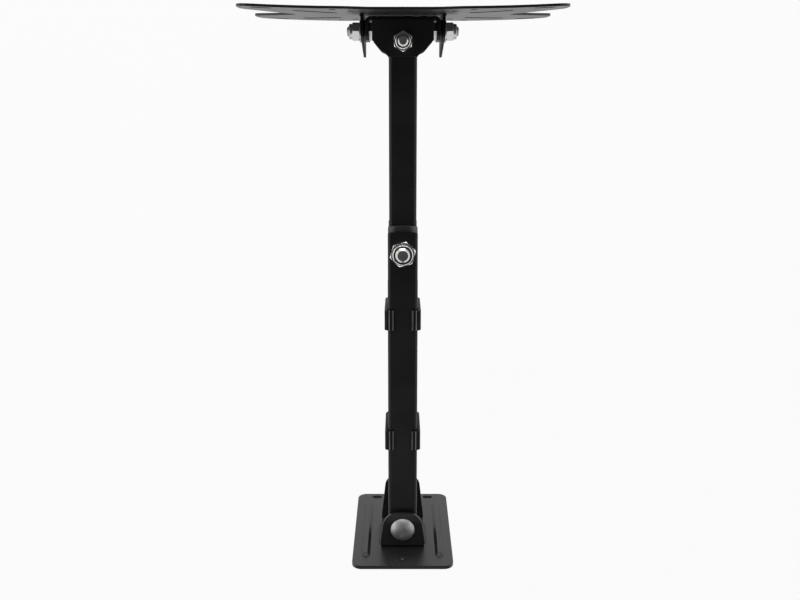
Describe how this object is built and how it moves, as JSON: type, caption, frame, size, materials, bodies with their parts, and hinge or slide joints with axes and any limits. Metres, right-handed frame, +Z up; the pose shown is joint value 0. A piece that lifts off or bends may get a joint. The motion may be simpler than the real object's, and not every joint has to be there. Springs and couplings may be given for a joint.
{
  "type": "swivel tv wall mount",
  "caption": "Folding-arm television wall mount: wall plate with clevis, box-tube arms with cable clips, swivel head and a tilting, notched screen plate.",
  "frame": {"origin": "on the back face of the wall plate, in line with the straight arm", "axes": "+Z up, +Y into the wall, the arm reaches toward -Y and the screen side faces -Y"},
  "size_m": [0.236, 0.4421, 0.1342],
  "materials": {
    "black_powder_coat": "satin black powder coat on steel",
    "zinc_plate": "bright zinc plate",
    "clip_plastic": "moulded black plastic",
    "nylon": "grey nylon"
  },
  "bodies": {
    "wall": {"wall_plate": "black_powder_coat", "wall_clevis": "black_powder_coat", "wall_pivot_bolt": "zinc_plate", "wall_pivot_nut": "zinc_plate", "wall_nut_insert": "nylon", "wall_friction_washers": "nylon"},
    "long_arm": {"wall_arm": "black_powder_coat", "elbow_liners": "nylon", "elbow_bolt": "zinc_plate", "elbow_nut": "zinc_plate", "elbow_nut_insert": "nylon", "cable_clip_outer": "clip_plastic", "cable_clip_inner": "clip_plastic"},
    "short_arm": {"forearm": "black_powder_coat"},
    "head": {"head_bracket": "black_powder_coat", "head_pivot_bolt": "zinc_plate", "head_pivot_nut": "zinc_plate", "head_nut_insert": "nylon", "head_friction_washers": "nylon", "tilt_bolts": "zinc_plate", "tilt_friction_washers": "nylon", "tilt_washers": "zinc_plate", "tilt_nuts": "zinc_plate", "tilt_nut_inserts": "nylon"},
    "screen_plate": {"vesa_plate": "black_powder_coat", "tilt_lug_left": "black_powder_coat", "tilt_lug_right": "black_powder_coat"}
  },
  "joints": [
    {"name": "wall_swivel", "type": "hinge", "parent": "wall", "child": "long_arm", "pos_m": [0, -0.0202, 0], "axis": [0, 0, 1], "range_deg": [-90, 90]},
    {"name": "elbow_swivel", "type": "hinge", "parent": "long_arm", "child": "short_arm", "pos_m": [0, -0.2583, 0], "axis": [0, 0, 1], "range_deg": [-120, 120]},
    {"name": "head_swivel", "type": "hinge", "parent": "short_arm", "child": "head", "pos_m": [0, -0.418, 0], "axis": [0, 0, 1], "range_deg": [-50, 50]},
    {"name": "screen_tilt", "type": "hinge", "parent": "head", "child": "screen_plate", "pos_m": [0, -0.4261, 0], "axis": [1, 0, 0], "range_deg": [-5, 5]}
  ]
}
